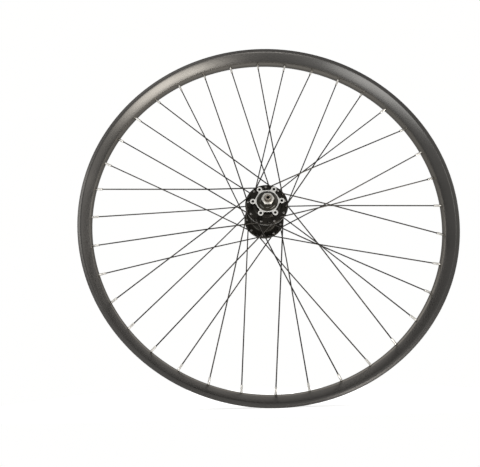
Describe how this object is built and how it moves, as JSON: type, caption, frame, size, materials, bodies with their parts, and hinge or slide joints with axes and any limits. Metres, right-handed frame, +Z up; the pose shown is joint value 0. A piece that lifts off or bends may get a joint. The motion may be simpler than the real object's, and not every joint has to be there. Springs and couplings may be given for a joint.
{
  "type": "bicycle wheel",
  "caption": "Front bicycle wheel for a disc brake: wide double-walled rim laced with crossed spokes to a six-bolt hub on sealed bearings and a hollow axle.",
  "frame": {"origin": "wheel's centre, on the axle midway between the locknut faces", "axes": "+Y along the axle away from the disc side, +Z up, +X to the right seen from the disc side"},
  "size_m": [0.596, 0.119, 0.5959],
  "materials": {
    "rim_dark_alloy": "dark anodised, satin",
    "spoke_dark_steel": "blackened drawn wire",
    "nipple_plated_brass": "bright nickel plate",
    "hub_black_alloy": "gloss black with bright machined rotor ring",
    "axle_steel": "turned",
    "bearing_steel": "ground",
    "seal_rubber": "matt",
    "cage_plastic": "moulded",
    "cap_gloss_plastic": "polished",
    "spacer_alloy": "black anodised",
    "locknut_steel": "turned and plated"
  },
  "bodies": {
    "axle": {"axle": "axle_steel", "axle_spacer_disc_side": "spacer_alloy", "axle_spacer_plain_side": "spacer_alloy", "locknut_disc_side": "locknut_steel", "locknut_plain_side": "locknut_steel", "bearing_inner_ring_disc_side": "bearing_steel", "bearing_inner_ring_plain_side": "bearing_steel"},
    "wheel": {"rim": "rim_dark_alloy", "spoke_01": "spoke_dark_steel", "spoke_02": "spoke_dark_steel", "spoke_03": "spoke_dark_steel", "spoke_04": "spoke_dark_steel", "spoke_05": "spoke_dark_steel", "spoke_06": "spoke_dark_steel", "spoke_07": "spoke_dark_steel", "spoke_08": "spoke_dark_steel", "spoke_09": "spoke_dark_steel", "spoke_10": "spoke_dark_steel", "spoke_11": "spoke_dark_steel", "spoke_12": "spoke_dark_steel", "spoke_13": "spoke_dark_steel", "spoke_14": "spoke_dark_steel", "spoke_15": "spoke_dark_steel", "spoke_16": "spoke_dark_steel", "spoke_17": "spoke_dark_steel", "spoke_18": "spoke_dark_steel", "spoke_19": "spoke_dark_steel", "spoke_20": "spoke_dark_steel", "spoke_21": "spoke_dark_steel", "spoke_22": "spoke_dark_steel", "spoke_23": "spoke_dark_steel", "spoke_24": "spoke_dark_steel", "spoke_25": "spoke_dark_steel", "spoke_26": "spoke_dark_steel", "spoke_27": "spoke_dark_steel", "spoke_28": "spoke_dark_steel", "spoke_29": "spoke_dark_steel", "spoke_30": "spoke_dark_steel", "spoke_31": "spoke_dark_steel", "spoke_32": "spoke_dark_steel", "spoke_33": "spoke_dark_steel", "spoke_34": "spoke_dark_steel", "spoke_35": "spoke_dark_steel", "spoke_36": "spoke_dark_steel", "spoke_nipples": "nipple_plated_brass", "hub_shell": "hub_black_alloy", "bearing_outer_ring_disc_side": "bearing_steel", "bearing_outer_ring_plain_side": "bearing_steel", "bearing_seals_disc_side": "seal_rubber", "bearing_seals_plain_side": "seal_rubber", "dust_cap_disc_side": "cap_gloss_plastic", "dust_cap_plain_side": "cap_gloss_plastic"},
    "ball_row_disc_side": {"bearing_balls_disc_side": "bearing_steel", "bearing_cage_disc_side": "cage_plastic"},
    "ball_row_plain_side": {"bearing_balls_plain_side": "bearing_steel", "bearing_cage_plain_side": "cage_plastic"}
  },
  "joints": [
    {"name": "wheel_spin", "type": "hinge", "parent": "axle", "child": "wheel", "pos_m": [0, 0, 0], "axis": [0, 1, 0], "continuous": true},
    {"name": "ball_row_disc_side_spin", "type": "hinge", "parent": "axle", "child": "ball_row_disc_side", "pos_m": [0, -0.03645, 0], "axis": [0, 1, 0], "continuous": true},
    {"name": "ball_row_plain_side_spin", "type": "hinge", "parent": "axle", "child": "ball_row_plain_side", "pos_m": [0, 0.03695, 0], "axis": [0, 1, 0], "continuous": true}
  ],
  "couplings": [
    {"joint": "ball_row_disc_side_spin", "follows": "wheel_spin", "ratio": 0.63222},
    {"joint": "ball_row_plain_side_spin", "follows": "wheel_spin", "ratio": 0.63222}
  ]
}
